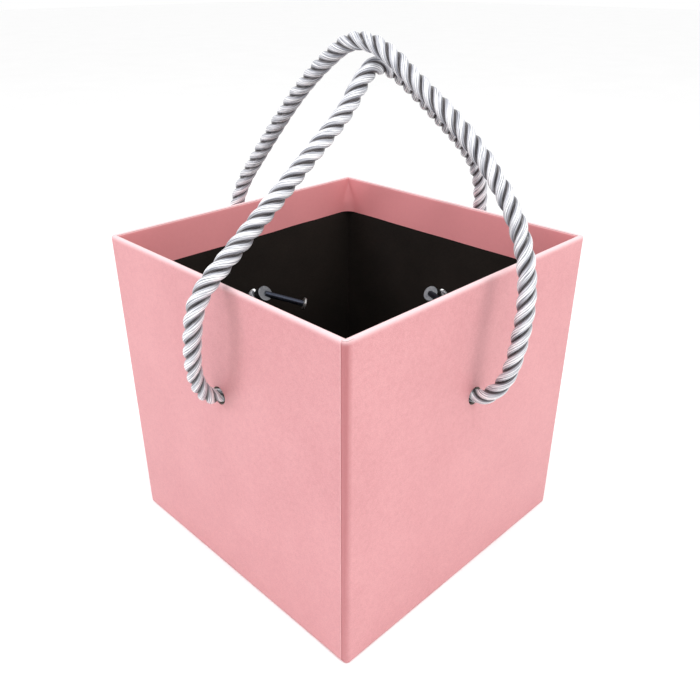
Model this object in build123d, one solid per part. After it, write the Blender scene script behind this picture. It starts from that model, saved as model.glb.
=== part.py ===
from build123d import *
import math
import os

# Square rigid gift box for flowers, open at the top, with two twisted rope handles.
# Frame: the origin is the middle of the underside, +Z is up. The front wall faces -Y, the
# back wall +Y, the left wall -X and the right wall +X. All sizes are in millimetres.

# ---- overall sizes ----
BOX_WIDTH = 160.0            # outside, along X
BOX_DEPTH = 160.0            # outside, along Y
BOX_HEIGHT = 159.0           # floor to rim

# ---- sheet stock ----
BOARD = 2.0                  # greyboard walls and base
WRAP = 0.25                  # pink grained wrapping paper
STAY = 0.15                  # paper tape that holds two boards together at a corner
LINING = 0.2                 # black lining paper
BASE_SHEET = 0.2             # paper pasted under the base

# ---- edges and overlaps ----
CORNER_RADIUS = 2.0          # outside, on the upright corners
RIM_TURN_IN = 20.0           # pink band inside the rim
BASE_TURN_UNDER = 15.0       # wrap folded under the base
BASE_SHEET_INSET = 3.0       # base sheet edge to the outside of the box
STAY_LEG = 12.0              # width of a corner tape on each wall
STAY_END_GAP = 3.0           # corner tape ends short of the rim and of the base

# ---- rope handles ----
ROPE = 8.0                   # rope diameter
HOLE_CLEARANCE = 0.3         # rope to hole, on the radius
HOLE_HEIGHT = 104.0          # hole centres above the floor
ARC_SHARE = 0.45             # part of a run that the arc at its end takes up

# ---- metal cap and toggle bar on each rope end ----
END_REACH = 11.35            # lining to the rope's cut end, into the box
END_RISE = 5.0               # how far the rope has turned up by then
AXIS_REACH = 4.35            # lining to the point where the rope starts to turn up
CAP_WALL = 0.5
CAP_EDGE = 0.45              # rounding of the cap's closed end
CAP_GRIP = 4.5               # length of rope inside the cap
TOGGLE_LENGTH = 24.0         # cap centre to the tip of the bar
TOGGLE_DIAMETER = 3.4
FLANGE_DIAMETER = 7.0
FLANGE_THICKNESS = 1.4
FLANGE_EDGE = 0.4            # rounding of the flange rim

# Routes of the two rope loops outside the walls: x, y and height above the hole centres.
# The lower loop joins the left and the right wall and runs under the upper one.
LOWER_ROUTE = [
    (-84.5, 0.0, 0.0),
    (-94.0, -4.0, 15.0),
    (-95.5, -8.0, 36.0),
    (-93.0, -10.5, 54.0),
    (-76.0, -11.5, 67.5),
    (-52.0, -11.0, 84.5),
    (-28.0, -10.0, 101.0),
    (-10.0, -9.0, 111.5),
    (-1.0, -8.0, 120.5),
    (8.5, -7.0, 128.0),
    (20.0, -7.0, 127.0),
    (36.0, -7.5, 117.5),
    (57.0, -8.5, 102.5),
    (76.5, -9.0, 87.0),
    (90.0, -9.0, 72.0),
    (96.0, -8.0, 54.0),
    (96.5, -6.0, 34.0),
    (93.0, -3.0, 14.0),
    (84.5, 0.0, 0.0),
]
# The upper loop joins the front and the back wall and passes over the lower one.
UPPER_ROUTE = [
    (0.0, -84.5, 0.0),
    (2.0, -94.0, 11.5),
    (4.0, -96.5, 29.0),
    (7.0, -96.5, 50.0),
    (9.0, -90.5, 72.0),
    (10.0, -76.0, 92.5),
    (9.5, -55.0, 111.5),
    (9.0, -31.0, 127.0),
    (8.0, -13.0, 139.5),
    (7.5, 4.0, 142.0),
    (8.0, 21.0, 132.0),
    (9.0, 40.0, 117.0),
    (9.5, 58.0, 99.5),
    (9.0, 76.0, 79.5),
    (8.0, 91.0, 62.0),
    (6.0, 98.5, 42.0),
    (4.0, 98.0, 23.0),
    (2.0, 93.0, 9.5),
    (0.0, 84.5, 0.0),
]

# Where each toggle bar points from its cap: outward from the wall (so a minus sign points into
# the box), along the wall, and up. "Along" is +X on the front and back, +Y on the left and right.
TOGGLE_DIRECTIONS = {
    "front": (-12.0, -18.0, -8.0),
    "back": (-12.0, 18.0, -8.0),
    "left": (-13.0, 19.0, 4.5),
    "right": (-13.0, -19.0, 4.5),
}

# ---- places worked out from the sizes above ----
HALF_X = BOX_WIDTH / 2
HALF_Y = BOX_DEPTH / 2
SKIN = WRAP + STAY                               # outside of the box to the boards
WALL = SKIN + BOARD + LINING                     # outside of the box to the lining's face
FLOOR_BOARD = BASE_SHEET + WRAP                  # underside of the boards
FLOOR_TOP = FLOOR_BOARD + BOARD                  # top of the base board
BOARD_TOP = BOX_HEIGHT - WRAP                    # top edge of the wall boards
BAND_BOTTOM = BOX_HEIGHT - RIM_TURN_IN           # lower edge of the pink band
HOLE = ROPE + 2 * HOLE_CLEARANCE
CAP_OUTER = ROPE + 2 * CAP_WALL

# Each wall: its outward axis and its distance from the middle of the box.
WALLS = {
    "front": (Vector(0, -1, 0), HALF_Y),
    "back": (Vector(0, 1, 0), HALF_Y),
    "left": (Vector(-1, 0, 0), HALF_X),
    "right": (Vector(1, 0, 0), HALF_X),
}
CROSS_WALLS = ("front", "back")                  # their boards run the full width

os.makedirs("parts", exist_ok=True)


def save(name, shape):
    """Write one sub-part as parts/NAME.step."""
    shape.label = name
    export_step(shape, f"parts/{name}.step")
    print(f"{name}: volume {shape.volume:.1f}")


def block(x_size, y_size, low, high, x_centre=0.0, y_centre=0.0, radius=0.0):
    """A block between two heights, with its upright edges rounded if a radius is given."""
    outline = RectangleRounded(x_size, y_size, radius) if radius else Rectangle(x_size, y_size)
    return Pos(x_centre, y_centre, low) * extrude(outline, high - low)


def handle_holes():
    """Two bars, along X and along Y, that cut the four rope holes."""
    length = 2 * max(BOX_WIDTH, BOX_DEPTH)
    bar = Cylinder(HOLE / 2, length)
    along_x = Pos(0, 0, HOLE_HEIGHT) * Rot(0, 90, 0) * bar
    along_y = Pos(0, 0, HOLE_HEIGHT) * Rot(90, 0, 0) * bar
    return along_x + along_y


def wall_board(name):
    """One greyboard wall: front and back run full width, left and right fit between them."""
    sign = 1 if name in ("back", "right") else -1
    board_radius = CORNER_RADIUS - SKIN
    shell = block(BOX_WIDTH - 2 * SKIN, BOX_DEPTH - 2 * SKIN, FLOOR_BOARD, BOARD_TOP, radius=board_radius)
    if name in CROSS_WALLS:
        centre = sign * (HALF_Y - SKIN - BOARD / 2)
        slab = block(BOX_WIDTH, BOARD, FLOOR_BOARD, BOARD_TOP, y_centre=centre)
    else:
        centre = sign * (HALF_X - SKIN - BOARD / 2)
        slab = block(BOARD, BOX_DEPTH - 2 * (SKIN + BOARD), FLOOR_BOARD, BOARD_TOP, x_centre=centre)
    return (shell & slab) - handle_holes()


def base_board():
    """The bottom board, inside the four walls."""
    inset = 2 * (SKIN + BOARD)
    return block(BOX_WIDTH - inset, BOX_DEPTH - inset, FLOOR_BOARD, FLOOR_TOP)


def corner_stay(x_sign, y_sign):
    """Paper tape folded round one upright corner of the boards, under the wrap."""
    low = FLOOR_BOARD + STAY_END_GAP
    high = BOARD_TOP - STAY_END_GAP
    outside = block(BOX_WIDTH - 2 * WRAP, BOX_DEPTH - 2 * WRAP, low, high, radius=CORNER_RADIUS - WRAP)
    inside = block(BOX_WIDTH - 2 * SKIN, BOX_DEPTH - 2 * SKIN, low, high, radius=CORNER_RADIUS - SKIN)
    window = block(
        STAY_LEG, STAY_LEG, low, high,
        x_centre=x_sign * (HALF_X - STAY_LEG / 2),
        y_centre=y_sign * (HALF_Y - STAY_LEG / 2),
    )
    return (outside - inside) & window


def outer_wrap():
    """The pink sheet: round the four walls, over the rim, down inside and under the base."""
    outside = block(BOX_WIDTH, BOX_DEPTH, BASE_SHEET, BOX_HEIGHT, radius=CORNER_RADIUS)
    core = block(
        BOX_WIDTH - 2 * WRAP, BOX_DEPTH - 2 * WRAP, FLOOR_BOARD, BOARD_TOP, radius=CORNER_RADIUS - WRAP
    )
    inner = 2 * (SKIN + BOARD)
    band = block(BOX_WIDTH - inner, BOX_DEPTH - inner, BAND_BOTTOM, BOARD_TOP)
    mouth = block(BOX_WIDTH - inner - 2 * WRAP, BOX_DEPTH - inner - 2 * WRAP, BAND_BOTTOM, BOX_HEIGHT)
    window = block(
        BOX_WIDTH - 2 * BASE_TURN_UNDER, BOX_DEPTH - 2 * BASE_TURN_UNDER, BASE_SHEET, FLOOR_BOARD
    )
    return (outside - core - window) + band - mouth - handle_holes()


def base_sheet():
    """The paper that covers the folded edges under the box, which stands on it."""
    return block(
        BOX_WIDTH - 2 * BASE_SHEET_INSET, BOX_DEPTH - 2 * BASE_SHEET_INSET, 0.0, BASE_SHEET,
        radius=CORNER_RADIUS,
    )


def base_lining():
    """Black paper on the inside of the base."""
    inset = 2 * (SKIN + BOARD)
    return block(BOX_WIDTH - inset, BOX_DEPTH - inset, FLOOR_TOP, FLOOR_TOP + LINING)


def wall_lining(name):
    """Black paper on the inside of one wall, from the base up to the pink band."""
    sign = 1 if name in ("back", "right") else -1
    inset = 2 * (SKIN + BOARD)
    low = FLOOR_TOP + LINING
    if name in CROSS_WALLS:
        centre = sign * (HALF_Y - SKIN - BOARD - LINING / 2)
        panel = block(BOX_WIDTH - inset, LINING, low, BAND_BOTTOM, y_centre=centre)
    else:
        centre = sign * (HALF_X - SKIN - BOARD - LINING / 2)
        panel = block(LINING, BOX_DEPTH - inset - 2 * LINING, low, BAND_BOTTOM, x_centre=centre)
    return panel - handle_holes()


def rope_end(name):
    """The rope's cut end inside one wall, and the point where the rope joins the hole's axis."""
    outward, distance = WALLS[name]
    inner_face = distance - WALL
    tip = outward * (inner_face - END_REACH) + Vector(0, 0, HOLE_HEIGHT + END_RISE)
    turn = outward * (inner_face - AXIS_REACH) + Vector(0, 0, HOLE_HEIGHT)
    return tip, turn


def arc_radii(points):
    """The largest even arc at each inner point of a route, and the turn it makes in degrees."""
    radii = []
    turns = []
    for before, here, after in zip(points, points[1:], points[2:]):
        first_run = here - before
        next_run = after - here
        turn = first_run.get_angle(next_run)
        shorter = min(first_run.length, next_run.length)
        radii.append(ARC_SHARE * shorter / math.tan(math.radians(turn) / 2))
        turns.append(turn)
    return radii, turns


def rope_loop(first_wall, last_wall, free_route):
    """One rope handle, from its cut end inside one wall to the cut end inside the opposite one."""
    first_tip, first_turn = rope_end(first_wall)
    last_tip, last_turn = rope_end(last_wall)
    lifted = [Vector(x, y, HOLE_HEIGHT + up) for x, y, up in free_route]
    points = [first_tip, first_turn] + lifted + [last_turn, last_tip]
    radii, turns = arc_radii(points)
    print("  arc radii:", " ".join(f"{radius:.1f}" for radius in radii))
    print("  turns:", " ".join(f"{turn:.0f}" for turn in turns))
    path = FilletPolyline(*points, radius=radii)
    section = Plane(origin=points[0], z_dir=points[1] - points[0]) * Circle(ROPE / 2)
    rope = sweep(section, path=path)
    expected = math.pi * (ROPE / 2) ** 2 * path.length
    print(f"  length {path.length:.1f}, volume {rope.volume:.1f} against {expected:.1f}")
    return rope


def end_frame(name):
    """The plane of the rope's cut end on one wall, with its normal along the rope's last run."""
    tip, turn = rope_end(name)
    return Plane(origin=tip, z_dir=tip - turn)


def cap_body(name):
    """The outside of the metal cap, before it is hollowed for the rope."""
    blank = Pos(0, 0, (CAP_WALL - CAP_GRIP) / 2) * Cylinder(CAP_OUTER / 2, CAP_GRIP + CAP_WALL)
    crown = blank.edges().sort_by(Axis.Z)[-1]
    return end_frame(name) * fillet(crown, CAP_EDGE)


def rope_cap(name):
    """A thin metal cap pressed over the rope's cut end."""
    bore = Pos(0, 0, -CAP_GRIP) * Cylinder(ROPE / 2, 2 * CAP_GRIP)
    return cap_body(name) - end_frame(name) * bore


def toggle_bar(name):
    """The bar that stops the rope end from pulling back through its hole."""
    outward, _ = WALLS[name]
    along = Vector(1, 0, 0) if name in CROSS_WALLS else Vector(0, 1, 0)
    out_share, along_share, up_share = TOGGLE_DIRECTIONS[name]
    direction = (outward * out_share + along * along_share + Vector(0, 0, up_share)).normalized()
    tip, _ = rope_end(name)
    frame = Plane(origin=tip, z_dir=direction)
    shaft = Pos(0, 0, TOGGLE_LENGTH / 2) * Cylinder(TOGGLE_DIAMETER / 2, TOGGLE_LENGTH)
    disc = Cylinder(FLANGE_DIAMETER / 2, FLANGE_THICKNESS)
    disc = Pos(0, 0, TOGGLE_LENGTH - FLANGE_THICKNESS / 2) * fillet(disc.edges(), FLANGE_EDGE)
    bar = frame * (shaft + disc) - cap_body(name)
    rope_side = end_frame(name) * (Pos(0, 0, -CAP_GRIP) * Cylinder(CAP_OUTER, 2 * CAP_GRIP))
    outside_parts = (bar - rope_side).solids()
    return outside_parts.sort_by(SortBy.VOLUME)[-1]


for wall in WALLS:
    save(f"wall_board_{wall}", wall_board(wall))
    save(f"wall_lining_{wall}", wall_lining(wall))
    save(f"rope_cap_{wall}", rope_cap(wall))
    save(f"toggle_bar_{wall}", toggle_bar(wall))

for front_or_back, y_sign in (("front", -1), ("back", 1)):
    for left_or_right, x_sign in (("left", -1), ("right", 1)):
        save(f"corner_stay_{front_or_back}_{left_or_right}", corner_stay(x_sign, y_sign))

save("base_board", base_board())
save("base_lining", base_lining())
save("base_sheet", base_sheet())
save("outer_wrap", outer_wrap())
save("handle_rope_lower", rope_loop("left", "right", LOWER_ROUTE))
save("handle_rope_upper", rope_loop("front", "back", UPPER_ROUTE))
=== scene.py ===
import math

import bmesh
import bpy
import numpy as np
from mathutils import Matrix, Vector, noise


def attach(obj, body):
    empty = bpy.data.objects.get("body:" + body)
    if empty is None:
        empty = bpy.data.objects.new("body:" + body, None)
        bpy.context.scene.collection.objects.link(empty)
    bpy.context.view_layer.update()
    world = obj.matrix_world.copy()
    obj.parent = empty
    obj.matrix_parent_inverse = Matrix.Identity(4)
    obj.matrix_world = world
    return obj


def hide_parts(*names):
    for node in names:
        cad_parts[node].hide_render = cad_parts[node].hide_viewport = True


# Square rigid gift box for flowers: pink grained wrap, black lining, two twisted satin rope
# handles. Metres, in the CAD model's frame: the origin is the middle of the underside, +Z is up.

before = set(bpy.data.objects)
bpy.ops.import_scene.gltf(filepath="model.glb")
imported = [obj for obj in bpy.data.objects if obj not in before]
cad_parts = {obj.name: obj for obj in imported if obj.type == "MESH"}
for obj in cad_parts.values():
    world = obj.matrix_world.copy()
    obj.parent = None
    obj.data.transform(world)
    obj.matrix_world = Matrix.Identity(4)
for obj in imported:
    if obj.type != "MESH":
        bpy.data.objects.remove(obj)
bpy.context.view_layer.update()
MM = 0.001

# ---- sizes shared with the CAD model ----
HALF = 80.0 * MM
HEIGHT = 159.0 * MM
CORNER_RADIUS = 2.0 * MM
WRAP = 0.25 * MM
BAND_DEPTH = 2.65 * MM              # outside of the box to the pink band's face
BAND_BOTTOM = 139.0 * MM
BASE_SHEET = 0.2 * MM
BASE_TURN_UNDER = 15.0 * MM
HOLE_HEIGHT = 104.0 * MM
HOLE_RADIUS = 4.3 * MM

# ---- camera ----
CAMERA_AZIMUTH = 225.117
CAMERA_ELEVATION = 27.453
CAMERA_DISTANCE = 0.37646
CAMERA_LENS = 37.61
CAMERA_HEIGHT = 0.09738
CAMERA_SIDE = 0.0013

# ---- soft lights: name, place, size, power, colour ----
STUDIO_LIGHTS = (
    ("overhead", (-0.15, -0.15, 0.95), 0.30, 2.7, (1.0, 1.0, 1.0)),
    ("side_left", (-0.66, 0.27, 0.50), 0.18, 1.6, (0.98, 0.95, 1.0)),
    ("side_right", (0.17, -0.70, 0.50), 0.32, 1.75, (1.0, 0.99, 0.97)),
)
LIGHT_AIM = Vector((0.0, 0.0, 0.10))

# ---- routes of the two rope loops: control points, x, y and height above the hole centres, mm ----
LOWER_ROUTE = [
    (-66.0, 0.0, 5.0), (-73.0, 0.0, 0.0), (-84.5, 0.0, 0.0), (-94.0, -4.0, 15.0),
    (-95.5, -8.0, 36.0), (-93.0, -10.5, 54.0), (-76.0, -11.5, 67.5), (-52.0, -11.0, 84.5),
    (-28.0, -10.0, 101.5), (-10.0, -9.0, 113.5), (-1.0, -8.0, 123.5), (8.5, -7.0, 131.0),
    (20.0, -7.0, 129.5), (36.0, -7.5, 119.0), (57.0, -8.5, 102.5), (76.5, -9.0, 87.0),
    (90.0, -9.0, 72.0), (96.0, -8.0, 54.0), (96.5, -6.0, 34.0), (93.0, -3.0, 14.0),
    (84.5, 0.0, 0.0), (73.0, 0.0, 0.0), (66.0, 0.0, 5.0),
]
UPPER_ROUTE = [
    (0.0, -66.0, 5.0), (0.0, -73.0, 0.0), (0.0, -84.5, 0.0), (2.0, -94.0, 11.5),
    (4.0, -96.5, 29.0), (7.0, -96.5, 50.0), (9.0, -90.5, 72.0), (10.0, -76.0, 92.5),
    (9.5, -55.0, 111.5), (9.0, -31.0, 126.5), (8.0, -13.0, 138.8), (7.5, 4.0, 141.2),
    (8.0, 21.0, 131.2), (9.0, 40.0, 117.0), (9.5, 58.0, 99.5), (9.0, 76.0, 79.5),
    (8.0, 91.0, 62.0), (6.0, 98.5, 42.0), (4.0, 98.0, 23.0), (2.0, 93.0, 9.5),
    (0.0, 84.5, 0.0), (0.0, 73.0, 0.0), (0.0, 66.0, 5.0),
]

# ---- rope ----
STRANDS = 3
LAY = 21.5 * MM                     # length of one full turn of the strands
STRAND_AXIS = 1.98 * MM             # strand centre to the rope's axis
STRAND_RADIUS = 2.02 * MM
STRAND_SIDES = 44
RING_STEP = 0.6 * MM
YARNS = 11                          # yarns seen round one strand
YARN_DEPTH = 0.055 * MM
MEAN_RIDGE = 0.64                   # about the mean of a rectified wave, so that yarns keep the strand's size
YARN_LAY = 13.0 * MM

# ---- toggle bars: outward and along each wall, and where each bar points in those terms ----
WALL_AXES = {
    "front": ((0, -1, 0), (1, 0, 0)), "back": ((0, 1, 0), (1, 0, 0)),
    "left": ((-1, 0, 0), (0, 1, 0)), "right": ((1, 0, 0), (0, 1, 0)),
}
TOGGLE_DIRECTIONS = {
    "front": (-12.0, -18.0, -8.0), "back": (-12.0, 18.0, -8.0),
    "left": (-13.0, 19.0, 4.5), "right": (-13.0, -19.0, 4.5),
}
ROPE_TIP_OUT = 66.05 * MM
ROPE_TIP_RISE = 5.0 * MM
TOGGLE_LENGTH = 24.0 * MM
DISC_SET_BACK = 0.7 * MM            # the disc's middle to the bar's end
DISC_REACH = 0.75 * MM

# ---- how the rope is squeezed: share of its thickness, place from its end, reach ----
CAP_SQUEEZE = 0.13                  # held in the caps, up to CAP_REACH from the end
CAP_REACH = 5.5 * MM
WALL_PINCH = (0.16, 15.5 * MM, 4.2 * MM)
LEG_TIGHTNESS = (0.11, 34.0 * MM, 18.0 * MM)

# ---- the wrap's section, and its stations round the box ----
FOLD_RADIUS = 0.9 * MM              # at the floor
RIM_RADIUS = 1.05 * MM
FOLD_STEPS = 6                      # rows round each quarter fold
RIM_STEPS = 8
UNDER_ROWS = (BASE_TURN_UNDER, 8.0 * MM, 2.5 * MM)
OUTSIDE_ROWS = (2.5, 156.6, 1.6)    # heights in mm: first, end, step
BAND_ROWS = (156.6, 139.4, -1.6)
BAND_EDGE = BAND_BOTTOM - 0.35 * MM
BEND_BASE = 0.6 * MM                # bevels on the sheet's hidden back
BEND_ACROSS = 0.5 * MM
BEND_UP = 0.8 * MM
SIDE_STEPS = 92                     # stations along one side
CORNER_STEPS = 8
SEAM_STEPS = 24                     # the last two steps before the near corner are this much finer
SEAM_CORNER_STEPS = 14
SHARPEST = 0.05 * MM                # corner radius of the faces inside the sheet
INNER_CORNER = 6.0 * MM             # the band bridges the box's inner corners in a soft curve
INNER_SHARP = 1.5 * MM              # but starts sharp, this far below the rim
INNER_ROUNDING = 13.0 * MM          # and gets its full curve over this height
OUTER_DEPTH = 0.5 * MM              # less deep than this is the outside
INNER_DEPTH = 2.0 * MM              # deeper than this is the band
SHARP_EDGE = 38.0                   # degrees

# ---- small relief of the wrap ----
SHEET_WAVE = 0.025 * MM
SHEET_WAVE_SCALE = 38.0
EDGE_WAVE = 0.30 * MM               # the band's lower edge isn't quite straight
EDGE_WAVE_SCALE = 42
EDGE_WAVE_SEED = 3.0
RELIEF_FROM = 1.0 * MM
RELIEF_TO = HEIGHT - 0.3 * MM
SEAM_ZONE = 5.0 * MM                # reach of the seam's relief from the near upright corner
SEAM_TOP = 2.35 * MM                # seam to the corner at the rim
SEAM_DRIFT = 1.0 * MM               # how much further it is at the floor
SEAM_WANDER = 0.12 * MM
SEAM_WANDER_SCALE = 140.0
SEAM_STEP_IN = 0.13 * MM
SEAM_STEP_OUT = 0.20 * MM
SEAM_STEP_FADE = 14.0 * MM
PUCKER = 0.16 * MM                  # the sheet is pulled in round each hole
PUCKER_REACH = 1.5 * MM
PUCKER_ZONE = 30.0 * MM
RIDGE = 0.10 * MM                   # and stands up a little further out
RIDGE_PLACE = 4.5 * MM
RIDGE_WIDTH = 2.2 * MM
PULL_ZONE = 4.0 * MM                # a shallow furrow runs down from each hole
PULL_WIDTH = 1.4 * MM
PULL_LENGTH = 12.0 * MM
MOST_IN = 0.17 * MM                 # less than the sheet's thickness
MOST_OUT = 0.30 * MM
HOLE_CENTRES = [
    Vector((-HALF, 0.0, HOLE_HEIGHT)), Vector((HALF, 0.0, HOLE_HEIGHT)),
    Vector((0.0, -HALF, HOLE_HEIGHT)), Vector((0.0, HALF, HOLE_HEIGHT)),
]

# ---- the wrap's colours, its painted shade and painted light, and where they lie ----
PINK_DARK, PINK_LIGHT = (0.590, 0.255, 0.270), (0.636, 0.288, 0.303)
SPECK_DARK, SPECK_LIGHT = (0.49, 0.21, 0.225), (0.70, 0.38, 0.39)
# painted shade on the rounded near corner beside the seam, and a painted highlight along the seam's cut edge
SEAM_PAINTED_SHADE = (0.385, 0.118, 0.126)
CUT_EDGE_HIGHLIGHT = (0.92, 0.60, 0.60)
STREAK = (0.46, 0.19, 0.20)
# painted light: a brighter, redder pink for the inner band
BAND_PAINTED_LIGHT = (0.86, 0.312, 0.325)
# painted highlight along the rim, lighter than the sheet
RIM_PAINTED_HIGHLIGHT = (0.86, 0.63, 0.65)
SEAM_REACH = 7.0 * MM               # how far round the corner the seam's painted shade and highlight reach
SEAM_STRIP = 6.2 * MM               # width over which the painted shade fades out
SEAM_EDGE = 0.35 * MM               # painted highlight along the cut edge
STREAK_WIDTH = 2.6 * MM
STREAK_LENGTH = 19.0 * MM
RIM_HIGHLIGHT_REACH = 2.4 * MM                 # painted highlight this far below the rim, outside
RIM_HIGHLIGHT_INSIDE = 1.0 * MM
BAND_LIGHT_DEPTH = 2.2 * MM        # depth at which the band's painted light begins

# ---- grain of the wrap: how many cells or waves in a metre ----
PORES, FINE_GRAIN, SPECKS, CLOUDS = 1150.0, 2600.0, 520.0, 26.0

# ---- floor ----
FLOOR_REACH = 6.0
FLOOR_LIGHT, FLOOR_DARK = (0.98, 0.98, 0.98), (0.965, 0.965, 0.965)


# ================= camera, light, floor =================
def make_camera():
    azimuth, elevation = math.radians(CAMERA_AZIMUTH), math.radians(CAMERA_ELEVATION)
    side = azimuth + math.pi / 2
    target = Vector((CAMERA_SIDE * math.cos(side), CAMERA_SIDE * math.sin(side), CAMERA_HEIGHT))
    back = Vector((
        math.cos(elevation) * math.cos(azimuth),
        math.cos(elevation) * math.sin(azimuth),
        math.sin(elevation),
    ))
    data = bpy.data.cameras.new("camera")
    data.lens = CAMERA_LENS
    data.sensor_width = 36.0
    data.clip_start = 0.01
    camera = bpy.data.objects.new("camera", data)
    bpy.context.collection.objects.link(camera)
    camera.location = target + back * CAMERA_DISTANCE
    camera.rotation_euler = (-back).to_track_quat("-Z", "Y").to_euler()
    bpy.context.scene.camera = camera


def area_light(name, location, size, power, colour):
    data = bpy.data.lights.new(name, "AREA")
    data.shape = "SQUARE"
    data.size = size
    data.energy = power
    data.color = colour
    light = bpy.data.objects.new(name, data)
    bpy.context.collection.objects.link(light)
    light.location = location
    light.rotation_euler = (LIGHT_AIM - Vector(location)).to_track_quat("-Z", "Y").to_euler()


def make_lights():
    world = bpy.data.worlds.new("studio")
    world.use_nodes = True
    background = world.node_tree.nodes["Background"]
    background.inputs["Color"].default_value = (1.0, 1.0, 1.0, 1.0)
    background.inputs["Strength"].default_value = 1.0
    bpy.context.scene.world = world
    for name, location, size, power, colour in STUDIO_LIGHTS:
        area_light(name, location, size, power, colour)
    bpy.context.scene.view_settings.view_transform = "Standard"


# ================= material helpers =================
class Nodes:
    """Short calls for building one material's node tree."""

    def __init__(self, name, roughness=0.5, metallic=0.0):
        self.material = bpy.data.materials.new(name)
        self.material.use_nodes = True
        self.tree = self.material.node_tree
        self.shader = self.tree.nodes["Principled BSDF"]
        self.shader.inputs["Roughness"].default_value = roughness
        self.shader.inputs["Metallic"].default_value = metallic

    def add(self, kind, **values):
        node = self.tree.nodes.new(kind)
        for key, value in values.items():
            if key in node.inputs:
                node.inputs[key].default_value = value
            else:
                setattr(node, key, value)
        return node

    def link(self, a, b):
        self.tree.links.new(a, b)

    def place(self, scale=(1.0, 1.0, 1.0)):
        """Object coordinates, in metres times the scale."""
        coordinates = self.add("ShaderNodeTexCoord")
        mapping = self.add("ShaderNodeMapping")
        mapping.inputs["Scale"].default_value = scale
        self.link(coordinates.outputs["Object"], mapping.inputs["Vector"])
        return mapping.outputs["Vector"]

    def noise(self, vector, scale, detail=4.0, roughness=0.55):
        node = self.add("ShaderNodeTexNoise")
        node.inputs["Scale"].default_value = scale
        node.inputs["Detail"].default_value = detail
        node.inputs["Roughness"].default_value = roughness
        self.link(vector, node.inputs["Vector"])
        return node.outputs["Fac"]

    def ramp(self, value, *stops):
        node = self.add("ShaderNodeValToRGB")
        elements = node.color_ramp.elements
        while len(elements) < len(stops):
            elements.new(0.5)
        for element, (position, colour) in zip(elements, stops):
            element.position = position
            element.color = (*colour, 1.0)
        self.link(value, node.inputs["Fac"])
        return node.outputs["Color"]

    def math(self, operation, a, b=None):
        node = self.add("ShaderNodeMath", operation=operation)
        for socket, value in zip(node.inputs, (a, b)):
            if value is None:
                continue
            if isinstance(value, (int, float)):
                socket.default_value = value
            else:
                self.link(value, socket)
        return node.outputs[0]

    def product(self, value, *others):
        for other in others:
            value = self.math("MULTIPLY", value, other)
        return value

    def clamped(self, value):
        """The value held between 0 and 1."""
        node = self.add("ShaderNodeClamp")
        self.link(value, node.inputs["Value"])
        return node.outputs[0]

    def fall(self, value, reach):
        """1 where the value is 0, falling to 0 at the reach."""
        return self.clamped(self.math("SUBTRACT", 1.0, self.math("DIVIDE", value, reach)))

    def rise(self, value, start, reach):
        """0 up to the start, rising to 1 over the reach."""
        return self.clamped(self.math("DIVIDE", self.math("SUBTRACT", value, start), reach))

    def mix(self, factor, a, b, blend="MIX"):
        node = self.add("ShaderNodeMix", data_type="RGBA", blend_type=blend)
        for socket, value in ((node.inputs[0], factor), (node.inputs[6], a), (node.inputs[7], b)):
            if isinstance(value, tuple):
                socket.default_value = (*value, 1.0)
            elif isinstance(value, (int, float)):
                socket.default_value = value
            else:
                self.link(value, socket)
        return node.outputs[2]

    def bump(self, height, distance, strength=1.0, normal=None):
        node = self.add("ShaderNodeBump")
        node.inputs["Distance"].default_value = distance
        node.inputs["Strength"].default_value = strength
        self.link(height, node.inputs["Height"])
        if normal is not None:
            self.link(normal, node.inputs["Normal"])
        return node.outputs["Normal"]

    def finish(self, colour, normal=None, roughness=None):
        self.link(colour, self.shader.inputs["Base Color"])
        if normal is not None:
            self.link(normal, self.shader.inputs["Normal"])
        if roughness is not None:
            self.link(roughness, self.shader.inputs["Roughness"])
        return self.material


# ================= materials =================
def pressed_sheet(n, where):
    """The grained sheet itself: its colour, its relief and its roughness."""
    pores = n.add("ShaderNodeTexVoronoi", feature="DISTANCE_TO_EDGE")
    pores.inputs["Scale"].default_value = PORES
    n.link(where, pores.inputs["Vector"])
    crease = n.ramp(pores.outputs["Distance"], (0.0, (0, 0, 0)), (0.16, (1, 1, 1)))
    fine = n.noise(where, FINE_GRAIN, 3.0)
    cloud = n.noise(where, CLOUDS, 4.0)
    speck = n.noise(where, SPECKS, 3.0)
    colour = n.ramp(cloud, (0.30, PINK_DARK), (0.72, PINK_LIGHT))
    colour = n.mix(0.16, colour, n.ramp(speck, (0.35, SPECK_DARK), (0.65, SPECK_LIGHT)))
    # painted shade: the grain's creases a little darker
    colour = n.mix(0.10, colour, crease, "MULTIPLY")
    relief = n.math("ADD", n.product(crease, 0.7), n.product(fine, 0.3))
    roughness = n.math("ADD", n.product(speck, 0.18), 0.40)
    return colour, relief, roughness


def seam_shade_and_highlight(n, colour, x, y, z):
    """On the near upright corner: a painted highlight along the cut edge, then painted shade that fades into the
    front wall.
    """
    near = n.product(n.math("LESS_THAN", x, -HALF + SEAM_REACH), n.math("LESS_THAN", y, -HALF + SEAM_REACH))
    drift = n.product(z, -SEAM_DRIFT / HEIGHT)
    past = n.math("ADD", n.math("ADD", n.math("SUBTRACT", x, y), SEAM_TOP + SEAM_DRIFT), drift)
    flatness = n.math("ADD", n.product(z, 1.1 / HEIGHT), 1.15)
    across = n.math("SUBTRACT", 1.0, n.math("DIVIDE", past, SEAM_STRIP))
    fade = n.clamped(n.product(across, flatness))
    strip = n.product(near, n.math("GREATER_THAN", past, 0.0), fade)
    depth = n.math("ADD", n.product(z, 0.16 / HEIGHT), 0.66)
    # painted shade, stronger towards the top of the corner
    colour = n.mix(n.product(strip, depth), colour, SEAM_PAINTED_SHADE)
    # painted highlight: a thin light line along the cut edge
    edge = n.product(n.math("LESS_THAN", past, 0.0), n.math("GREATER_THAN", past, -SEAM_EDGE))
    return n.mix(n.product(edge, near, 0.5), colour, CUT_EDGE_HIGHLIGHT)


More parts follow.
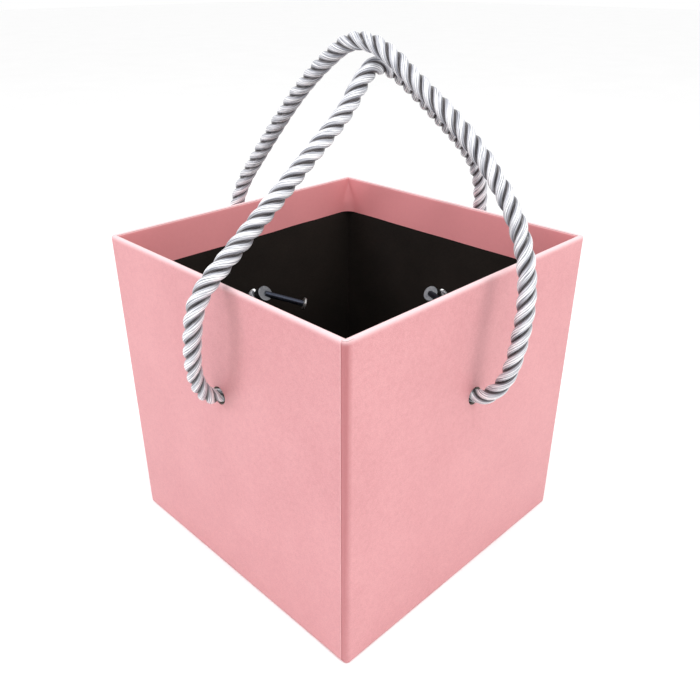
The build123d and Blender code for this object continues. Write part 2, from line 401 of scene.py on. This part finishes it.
def hole_streaks(n, colour, far_x, far_y, z):
    """Faint darker streaks under the holes, where the sheet is pulled."""
    below = n.math("SUBTRACT", HOLE_HEIGHT, z)
    narrow = n.fall(n.math("MINIMUM", far_x, far_y), STREAK_WIDTH)
    short = n.fall(below, STREAK_LENGTH)
    under = n.product(n.math("GREATER_THAN", below, 0.0), n.product(narrow, short))
    return n.mix(n.product(under, 0.42), colour, STREAK)


def mouth_painted_light(n, colour, far_x, far_y, z):
    """Painted light in the mouth of the box: the inner band painted brighter and redder than the outside, and a
    painted highlight along the rim.
    """
    edge = HALF - BAND_LIGHT_DEPTH
    inside = n.product(n.math("LESS_THAN", far_x, edge), n.math("LESS_THAN", far_y, edge))
    # painted light on the inner band
    colour = n.mix(n.product(inside, 0.70), colour, BAND_PAINTED_LIGHT)
    outer_top = n.math("POWER", n.rise(z, HEIGHT - RIM_HIGHLIGHT_REACH, RIM_HIGHLIGHT_REACH), 1.7)
    outer_top = n.product(outer_top, n.math("SUBTRACT", 1.0, inside))
    inner_top = n.product(n.rise(z, HEIGHT - RIM_HIGHLIGHT_INSIDE, RIM_HIGHLIGHT_INSIDE), inside)
    # painted highlight along the rim, outside and just inside
    return n.mix(n.product(n.math("ADD", outer_top, inner_top), 0.80), colour, RIM_PAINTED_HIGHLIGHT)


def pink_leatherette():
    n = Nodes("pink_wrap", roughness=0.5)
    n.shader.inputs["Specular IOR Level"].default_value = 0.42
    where = n.place()
    colour, relief, roughness = pressed_sheet(n, where)
    parts = n.add("ShaderNodeSeparateXYZ")
    n.link(where, parts.inputs["Vector"])
    x, y, z = parts.outputs["X"], parts.outputs["Y"], parts.outputs["Z"]
    far_x, far_y = n.math("ABSOLUTE", x), n.math("ABSOLUTE", y)
    colour = seam_shade_and_highlight(n, colour, x, y, z)
    colour = hole_streaks(n, colour, far_x, far_y, z)
    colour = mouth_painted_light(n, colour, far_x, far_y, z)
    return n.finish(colour, n.bump(relief, 0.00007, 0.6), roughness)


def black_lining():
    n = Nodes("black_lining", roughness=0.9)
    n.shader.inputs["Specular IOR Level"].default_value = 0.18
    where = n.place()
    fibres = n.noise(n.place((1.0, 1.0, 3.2)), 900.0, 5.0, 0.65)
    cloud = n.noise(where, 34.0, 3.0)
    dark = n.ramp(fibres, (0.3, (0.0075, 0.0055, 0.0045)), (0.75, (0.021, 0.016, 0.013)))
    colour = n.mix(0.35, dark, n.ramp(cloud, (0.3, (0.006, 0.005, 0.004)), (0.7, (0.026, 0.020, 0.016))))
    return n.finish(colour, n.bump(fibres, 0.00005, 0.6))


def paper(name, light, dark, scale=700.0, depth=0.00005):
    n = Nodes(name, roughness=0.85)
    n.shader.inputs["Specular IOR Level"].default_value = 0.2
    where = n.place()
    fibres = n.noise(where, scale, 6.0, 0.7)
    flecks = n.noise(where, scale * 0.22, 4.0)
    colour = n.mix(0.4, n.ramp(fibres, (0.3, dark), (0.72, light)), n.ramp(flecks, (0.35, dark), (0.65, light)))
    return n.finish(colour, n.bump(fibres, depth, 0.7))


def metal(name, light, dark, roughness, brushed):
    n = Nodes(name, roughness=roughness, metallic=1.0)
    streaks = n.noise(n.place(brushed), 900.0, 4.0, 0.6)
    smudge = n.noise(n.place(), 240.0, 3.0)
    colour = n.mix(0.5, n.ramp(streaks, (0.3, dark), (0.7, light)), n.ramp(smudge, (0.35, dark), (0.65, light)))
    rough = n.math("ADD", n.product(smudge, 0.22), roughness - 0.11)
    return n.finish(colour, n.bump(streaks, 0.00002, 0.5), rough)


def toggle_metal(wall):
    """Dark bar, painted with a bluish reflection of the black lining, and a painted highlight on the disc at its
    end.
    """
    outward, along = (Vector(axis) for axis in WALL_AXES[wall])
    out_share, along_share, up_share = TOGGLE_DIRECTIONS[wall]
    direction = (outward * out_share + along * along_share + Vector((0, 0, up_share))).normalized()
    rope_tip = outward * ROPE_TIP_OUT + Vector((0.0, 0.0, HOLE_HEIGHT + ROPE_TIP_RISE))
    disc = rope_tip + direction * (TOGGLE_LENGTH - DISC_SET_BACK)
    n = Nodes(f"toggle_metal_{wall}", roughness=0.36, metallic=0.85)
    streaks = n.noise(n.place((5.0, 5.0, 1.0)), 900.0, 4.0, 0.6)
    # painted reflection: dark and bluish, as the black lining seen in the bar
    dark_reflection = n.ramp(streaks, (0.3, (0.020, 0.024, 0.036)), (0.7, (0.085, 0.098, 0.135)))
    # painted highlight on the end disc
    disc_highlight = n.ramp(streaks, (0.3, (0.26, 0.26, 0.26)), (0.7, (0.46, 0.46, 0.45)))
    reach = n.add("ShaderNodeVectorMath", operation="DOT_PRODUCT")
    n.link(n.place(), reach.inputs[0])
    reach.inputs[1].default_value = direction
    on_disc = n.math("GREATER_THAN", reach.outputs["Value"], disc.dot(direction) - DISC_REACH)
    colour = n.mix(on_disc, dark_reflection, disc_highlight)
    return n.finish(colour, n.bump(streaks, 0.00002, 0.5))


def along_yarns(n, along, around, fineness, lean, stretch, detail):
    """Noise drawn out along the yarns, which lean round the strand."""
    vector = n.add("ShaderNodeCombineXYZ")
    n.link(n.math("ADD", n.product(around, fineness), n.product(along, lean)), vector.inputs["X"])
    n.link(n.product(along, stretch), vector.inputs["Y"])
    return n.noise(vector.outputs["Vector"], 1.0, detail, 0.55)


def from_middle(n, value):
    """Distance of a value's fraction from one half."""
    return n.math("ABSOLUTE", n.math("SUBTRACT", n.math("FRACT", value), 0.5))


def satin_rope():
    """UV: u runs along the strand in yarn turns, v once round it, 0 facing away from the rope's axis."""
    n = Nodes("satin_rope", roughness=0.3)
    n.shader.inputs["Specular IOR Level"].default_value = 0.7
    n.shader.inputs["Sheen Weight"].default_value = 0.3
    n.shader.inputs["Sheen Roughness"].default_value = 0.3
    coordinates = n.add("ShaderNodeTexCoord")
    parts = n.add("ShaderNodeSeparateXYZ")
    n.link(coordinates.outputs["UV"], parts.inputs["Vector"])
    along, around = parts.outputs["X"], parts.outputs["Y"]
    filament = along_yarns(n, along, around, 150.0, 30.0, 2.4, 3.0)
    streak = along_yarns(n, along, around, 26.0, 5.0, 1.0, 2.0)
    # the yarns' grey tone with painted sheen: streaks from blue-grey up to a painted white highlight
    silver_and_sheen = n.ramp(
        streak, (0.38, (0.16, 0.175, 0.215)), (0.46, (0.50, 0.52, 0.57)), (0.55, (1.0, 1.0, 1.0))
    )
    # finer painted sheen along the filaments
    silver_and_sheen = n.mix(0.24, silver_and_sheen, n.ramp(filament, (0.38, (0.20, 0.21, 0.25)), (0.56, (1.0, 1.0, 1.0))))
    # painted shade in the grooves between the yarns, at the same turns as in the mesh
    from_groove = from_middle(n, n.math("ADD", n.product(around, float(YARNS)), along))
    between = n.ramp(from_groove, (0.03, (0.26, 0.27, 0.32)), (0.24, (1.0, 1.0, 1.0)))
    silver_and_sheen = n.mix(0.70, silver_and_sheen, between, "MULTIPLY")
    # how far round the strand from its crown: painted shade darkens it into the grooves between strands
    turn = from_middle(n, n.math("ADD", around, 0.5))
    strand_groove_shade = n.ramp(turn, (0.085, (1, 1, 1)), (0.18, (0.56, 0.57, 0.61)), (0.25, (0.105, 0.092, 0.095)))
    colour = n.mix(0.96, silver_and_sheen, strand_groove_shade, "MULTIPLY")
    roughness = n.math("ADD", n.product(filament, 0.20), 0.18)
    return n.finish(colour, n.bump(filament, 0.00010, 0.6), roughness)


def pale_floor():
    n = Nodes("floor", roughness=0.95)
    n.shader.inputs["Specular IOR Level"].default_value = 0.05
    mottle = n.noise(n.place(), 8.0, 2.0)
    return n.finish(n.ramp(mottle, (0.3, FLOOR_DARK), (0.7, FLOOR_LIGHT)))


def make_floor():
    mesh = bpy.data.meshes.new("floor")
    reach = FLOOR_REACH
    corners = [(-reach, -reach, 0), (reach, -reach, 0), (reach, reach, 0), (-reach, reach, 0)]
    mesh.from_pydata(corners, [], [(0, 1, 2, 3)])
    mesh.materials.append(pale_floor())
    floor = bpy.data.objects.new("floor", mesh)
    bpy.context.collection.objects.link(floor)


# ================= ropes =================
def route_points(name, route):
    """The smooth line of a route: the points that Blender gives for the bare NURBS spline."""
    data = bpy.data.curves.new(name, "CURVE")
    data.dimensions = "3D"
    data.resolution_u = 24
    spline = data.splines.new("NURBS")
    spline.points.add(len(route) - 1)
    for point, (x, y, up) in zip(spline.points, route):
        point.co = (x * MM, y * MM, HOLE_HEIGHT + up * MM, 1.0)
    spline.order_u = 3
    spline.use_endpoint_u = True
    curve = bpy.data.objects.new(name, data)
    mesh = bpy.data.meshes.new_from_object(curve)
    points = np.array([tuple(v.co) for v in mesh.vertices])
    bpy.data.meshes.remove(mesh)
    bpy.data.objects.remove(curve)
    bpy.data.curves.remove(data)
    return points


def even_stations(points, step):
    """Points at even distances along a line, with their distances, and the line's length."""
    runs = np.linalg.norm(np.diff(points, axis=0), axis=1)
    kept = np.concatenate([[True], runs > 1e-9])
    points = points[kept]
    distance = np.concatenate([[0.0], np.cumsum(np.linalg.norm(np.diff(points, axis=0), axis=1))])
    count = int(distance[-1] / step) + 1
    stations = np.linspace(0.0, distance[-1], count)
    placed = np.stack([np.interp(stations, distance, points[:, k]) for k in range(3)], axis=1)
    return placed, stations, distance[-1]


def carried_frames(points):
    """A pair of normals at each point that turn with the line without twisting round it."""
    tangents = np.gradient(points, axis=0)
    tangents /= np.linalg.norm(tangents, axis=1)[:, None]
    normals = np.zeros_like(points)
    start = np.cross(tangents[0], (0.0, 0.0, 1.0))
    normals[0] = start / np.linalg.norm(start)
    for i in range(1, len(points)):
        flat = normals[i - 1] - tangents[i] * np.dot(normals[i - 1], tangents[i])
        normals[i] = flat / np.linalg.norm(flat)
    return normals, np.cross(tangents, normals)


def squeeze(stations, length):
    """How thick the rope is along its length: held in its caps, pinched by a wall, laid tighter down each leg."""
    from_end = np.minimum(stations, length - stations)
    thick = np.ones_like(stations)
    thick -= CAP_SQUEEZE * np.clip(1.0 - from_end / CAP_REACH, 0.0, 1.0)
    for share, place, reach in (WALL_PINCH, LEG_TIGHTNESS):
        thick -= share * np.exp(-(((from_end - place) / reach) ** 2))
    return thick


def strand_rings(line, stations, thick, normal, binormal, phase):
    """Points of one strand's rings, from its start to its end."""
    slope = math.cos(math.atan(2 * math.pi * STRAND_AXIS / LAY))
    around = np.linspace(0.0, 2 * math.pi, STRAND_SIDES, endpoint=False)
    angle = 2 * math.pi * stations / LAY + phase
    outward = np.cos(angle)[:, None] * normal + np.sin(angle)[:, None] * binormal
    sideways = -np.sin(angle)[:, None] * normal + np.cos(angle)[:, None] * binormal
    yarn_phase = 2 * math.pi * stations / YARN_LAY
    ridge = np.abs(np.cos(0.5 * (YARNS * around[None, :] + yarn_phase[:, None]))) - MEAN_RIDGE
    radius = STRAND_RADIUS + YARN_DEPTH * ridge
    out = STRAND_AXIS + radius * np.cos(around)[None, :]
    side = radius * np.sin(around)[None, :] / slope
    return (
        line[:, None, :]
        + (thick[:, None] * out)[:, :, None] * outward[:, None, :]
        + (thick[:, None] * side)[:, :, None] * sideways[:, None, :]
    )


def strand_faces(first, stations):
    """One strand's faces and their UVs, for rings whose points start at a number."""
    faces, uvs = [], []
    rows = len(stations)
    for i in range(rows - 1):
        low, high = stations[i] / YARN_LAY, stations[i + 1] / YARN_LAY
        a, b = first + i * STRAND_SIDES, first + (i + 1) * STRAND_SIDES
        for j in range(STRAND_SIDES):
            k = (j + 1) % STRAND_SIDES
            faces.append((a + j, a + k, b + k, b + j))
            v0, v1 = j / STRAND_SIDES, (j + 1) / STRAND_SIDES
            uvs.extend([(low, v0), (low, v1), (high, v1), (high, v0)])
    for row, flip in ((0, True), (rows - 1, False)):
        loop = [first + row * STRAND_SIDES + j for j in range(STRAND_SIDES)]
        faces.append(tuple(reversed(loop)) if flip else tuple(loop))
        uvs.extend([(0.0, 0.5)] * STRAND_SIDES)
    return faces, uvs


def twisted_rope(name, route, material, turned):
    """Three strands laid right-handed round the route's line, each with its own yarns."""
    line, stations, length = even_stations(route_points(name + "_line", route), RING_STEP)
    normal, binormal = carried_frames(line)
    thick = squeeze(stations, length)
    vertices, faces, uvs = [], [], []
    for strand in range(STRANDS):
        phase = 2 * math.pi * strand / STRANDS + turned
        rings = strand_rings(line, stations, thick, normal, binormal, phase)
        strand_polygons, strand_uvs = strand_faces(len(vertices), stations)
        vertices.extend(map(tuple, rings.reshape(-1, 3)))
        faces.extend(strand_polygons)
        uvs.extend(strand_uvs)
    mesh = bpy.data.meshes.new(name)
    mesh.from_pydata(vertices, [], faces)
    layer = mesh.uv_layers.new(name="strand")
    layer.data.foreach_set("uv", np.array(uvs, dtype=np.float32).ravel())
    mesh.polygons.foreach_set("use_smooth", [True] * len(mesh.polygons))
    mesh.materials.append(material)
    mesh.update()
    rope = bpy.data.objects.new(name, mesh)
    bpy.context.collection.objects.link(rope)
    return rope, line, length


def make_ropes():
    satin = satin_rope()
    for name, route, body, node, walls, turned in (
        ("lower_rope", LOWER_ROUTE, "lower_handle", "handle_rope_lower", ("left", "right"), 0.4),
        ("upper_rope", UPPER_ROUTE, "upper_handle", "handle_rope_upper", ("front", "back"), 1.5),
    ):
        rope, line, length = twisted_rope(name, route, satin, turned)
        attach(rope, body)
        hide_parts(node)


# ================= wrap =================
def quarter_turn(steps):
    return [math.pi / 2 * k / steps for k in range(steps + 1)]


def profile():
    """Depth in from the outside and height of the wrap's section, from the base fold to the band and back."""
    low, fold, rim = BASE_SHEET, FOLD_RADIUS, RIM_RADIUS
    outer = [(depth, low) for depth in UNDER_ROWS]
    outer += [(fold - fold * math.sin(a), low + fold - fold * math.cos(a)) for a in quarter_turn(FOLD_STEPS)]
    outer += [(0.0, z * MM) for z in np.arange(*OUTSIDE_ROWS)]
    outer += [(rim - rim * math.cos(a), HEIGHT - rim + rim * math.sin(a)) for a in quarter_turn(RIM_STEPS)]
    for a in quarter_turn(RIM_STEPS)[1:]:
        outer.append((BAND_DEPTH - rim * (1 - math.sin(a)), HEIGHT - rim * (1 - math.cos(a))))
    outer += [(BAND_DEPTH, z * MM) for z in np.arange(*BAND_ROWS)]
    outer.append((BAND_DEPTH, BAND_EDGE))
    back = [
        (BAND_DEPTH - WRAP, BAND_EDGE), (BAND_DEPTH - WRAP, HEIGHT - WRAP - BEND_UP),
        (BAND_DEPTH - WRAP - BEND_ACROSS, HEIGHT - WRAP), (WRAP + BEND_ACROSS, HEIGHT - WRAP),
        (WRAP, HEIGHT - WRAP - BEND_UP), (WRAP, low + WRAP + BEND_BASE), (WRAP + BEND_BASE, low + WRAP),
        (BASE_TURN_UNDER, low + WRAP),
    ]
    return outer, back


def perimeter():
    """Stations round the box: which corner or side each is on, and its place there."""
    stations = []
    for quarter in range(4):
        before_seam = quarter == 3
        places = [-1.0 + 2.0 * k / SIDE_STEPS for k in range(SIDE_STEPS)]
        if before_seam:
            start = places[-2]
            places = places[:-2] + [start + (1.0 - start) * k / SEAM_STEPS for k in range(SEAM_STEPS)]
        stations += [("side", quarter, place) for place in places]
        steps = SEAM_CORNER_STEPS if before_seam else CORNER_STEPS
        stations += [("corner", quarter, k / steps) for k in range(steps)]
    return stations


def wrap_point(station, depth, z):
    """Where a station lies at a depth in from the outside, going round counter-clockwise from the front."""
    kind, quarter, place = station
    radius = max(CORNER_RADIUS - depth, SHARPEST)
    if z > 0.5 * HEIGHT and depth > INNER_DEPTH:
        below_rim = max(0.0, min(1.0, (HEIGHT - INNER_SHARP - z) / INNER_ROUNDING))
        radius = max(radius, INNER_CORNER * below_rim)
    straight = HALF - depth - radius
    if kind == "side":
        x, y = place * straight, -(HALF - depth)
    else:
        angle = -math.pi / 2 + place * math.pi / 2
        x, y = straight + radius * math.cos(angle), -straight + radius * math.sin(angle)
    turn = quarter * math.pi / 2
    return Vector((x * math.cos(turn) - y * math.sin(turn), x * math.sin(turn) + y * math.cos(turn), z))


def seam_line(z):
    """Where the left wall's sheet ends, along Y: it drifts away from the corner further down."""
    drift = SEAM_DRIFT * (1.0 - z / HEIGHT)
    wander = SEAM_WANDER * noise.noise(Vector((0.0, 0.0, z * SEAM_WANDER_SCALE)))
    return -HALF + SEAM_TOP + drift + wander


def hole_inset(offset):
    """The wrap's relief at a place given from a hole's centre: pulled in at the hole, with a furrow below it."""
    reach = max(offset.length - HOLE_RADIUS, 0.0)
    ridge = RIDGE * math.exp(-(((reach - RIDGE_PLACE) / RIDGE_WIDTH) ** 2))
    inset = PUCKER * math.exp(-reach / PUCKER_REACH) - ridge
    across, below = math.hypot(offset.x, offset.y), -offset.z
    if below > 0 and across < PULL_ZONE:
        inset += PUCKER * math.exp(-((across / PULL_WIDTH) ** 2)) * math.exp(-below / PULL_LENGTH)
    return inset


def surface_inset(point, z):
    """Small real unevenness of the outside: the seam step, hole puckers and the boards' slight waviness."""
    inset = SHEET_WAVE * noise.noise(point * SHEET_WAVE_SCALE)
    near_corner = point.x < -HALF + SEAM_ZONE and point.y < -HALF + SEAM_ZONE
    if near_corner:
        inset += SEAM_STEP_IN if point.y < seam_line(z) else -SEAM_STEP_OUT
    elif point.x < -HALF + OUTER_DEPTH:
        fade = (point.y + HALF - SEAM_ZONE) / SEAM_STEP_FADE
        inset -= SEAM_STEP_OUT * max(0.0, 1.0 - fade)
    for hole in HOLE_CENTRES:
        offset = Vector((point.x, point.y, z)) - hole
        if offset.length <= PUCKER_ZONE:
            inset += hole_inset(offset)
    return max(-MOST_OUT, min(MOST_IN, inset))


def wrap_vertices(stations, section, outer_rows):
    """The section carried round the box, with the outside's relief and the band edge's waviness."""
    vertices = []
    for station in stations:
        for index, (depth, z) in enumerate(section):
            place = wrap_point(station, depth, z)
            if index < outer_rows and RELIEF_FROM < z < RELIEF_TO and depth < OUTER_DEPTH:
                place = wrap_point(station, depth + surface_inset(place, z), z)
            if 0.5 * HEIGHT < z < BAND_BOTTOM and depth > INNER_DEPTH:
                x, y = place.x * EDGE_WAVE_SCALE, place.y * EDGE_WAVE_SCALE
                place.z = z + EDGE_WAVE * noise.noise(Vector((x, y, EDGE_WAVE_SEED)))
            vertices.append(tuple(place))
    return vertices


def wrap_mesh():
    outer, back = profile()
    section = outer + back
    stations = perimeter()
    rows, around = len(section), len(stations)
    faces = []
    for i in range(around):
        j = (i + 1) % around
        for k in range(rows):
            m = (k + 1) % rows
            faces.append((i * rows + k, j * rows + k, j * rows + m, i * rows + m))
    mesh = bpy.data.meshes.new("wrap")
    mesh.from_pydata(wrap_vertices(stations, section, len(outer)), [], faces)
    shell = bmesh.new()
    shell.from_mesh(mesh)
    bmesh.ops.recalc_face_normals(shell, faces=shell.faces)
    shell.to_mesh(mesh)
    shell.free()
    return mesh


def make_wrap(material):
    wrap = bpy.data.objects.new("wrap", wrap_mesh())
    bpy.context.collection.objects.link(wrap)
    for cutter in hole_cutters():
        cut = wrap.modifiers.new(cutter.name, "BOOLEAN")
        cut.operation = "DIFFERENCE"
        cut.solver = "EXACT"
        cut.object = cutter
        evaluated = wrap.evaluated_get(bpy.context.evaluated_depsgraph_get())
        result = bpy.data.meshes.new_from_object(evaluated)
        wrap.modifiers.clear()
        wrap.data = result
        bpy.data.objects.remove(cutter)
    wrap.data.name = "wrap"
    wrap.data.materials.clear()
    wrap.data.materials.append(material)
    wrap.data.polygons.foreach_set("use_smooth", [True] * len(wrap.data.polygons))
    wrap.data.set_sharp_from_angle(angle=math.radians(SHARP_EDGE))
    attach(wrap, "box")
    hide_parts("outer_wrap")


def hole_cutters():
    """Two round bars through the four rope holes."""
    cutters = []
    for name, axis in (("holes_x", "Y"), ("holes_y", "X")):
        shape = bmesh.new()
        bmesh.ops.create_cone(
            shape, segments=72, radius1=HOLE_RADIUS, radius2=HOLE_RADIUS, depth=4 * HALF, cap_ends=True,
            matrix=Matrix.Translation((0, 0, HOLE_HEIGHT)) @ Matrix.Rotation(math.pi / 2, 4, axis),
        )
        mesh = bpy.data.meshes.new(name)
        shape.to_mesh(mesh)
        shape.free()
        cutter = bpy.data.objects.new(name, mesh)
        bpy.context.collection.objects.link(cutter)
        cutters.append(cutter)
    return cutters


# ================= carried-over CAD nodes =================
def finish_node(node, material):
    node.data.materials.clear()
    node.data.materials.append(material)


def finish_nodes():
    lining = black_lining()
    greyboard = paper("greyboard", (0.36, 0.33, 0.29), (0.20, 0.18, 0.155))
    tape = paper("kraft_tape", (0.50, 0.37, 0.24), (0.34, 0.24, 0.15))
    base = paper("base_paper", (0.80, 0.40, 0.41), (0.66, 0.30, 0.32))
    cap = metal("cap_metal", (0.25, 0.26, 0.27), (0.10, 0.11, 0.125), 0.46, (1.0, 1.0, 6.0))
    finishes = (
        ("wall_lining_", lining), ("base_lining", lining), ("wall_board_", greyboard), ("base_board", greyboard),
        ("corner_stay_", tape), ("base_sheet", base), ("rope_cap_", cap),
    )
    for wall in WALL_AXES:
        finish_node(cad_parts[f"toggle_bar_{wall}"], toggle_metal(wall))
    for name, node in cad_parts.items():
        for prefix, material in finishes:
            if name.startswith(prefix):
                finish_node(node, material)


make_camera()
make_ropes()
make_wrap(pink_leatherette())
finish_nodes()
make_lights()
make_floor()
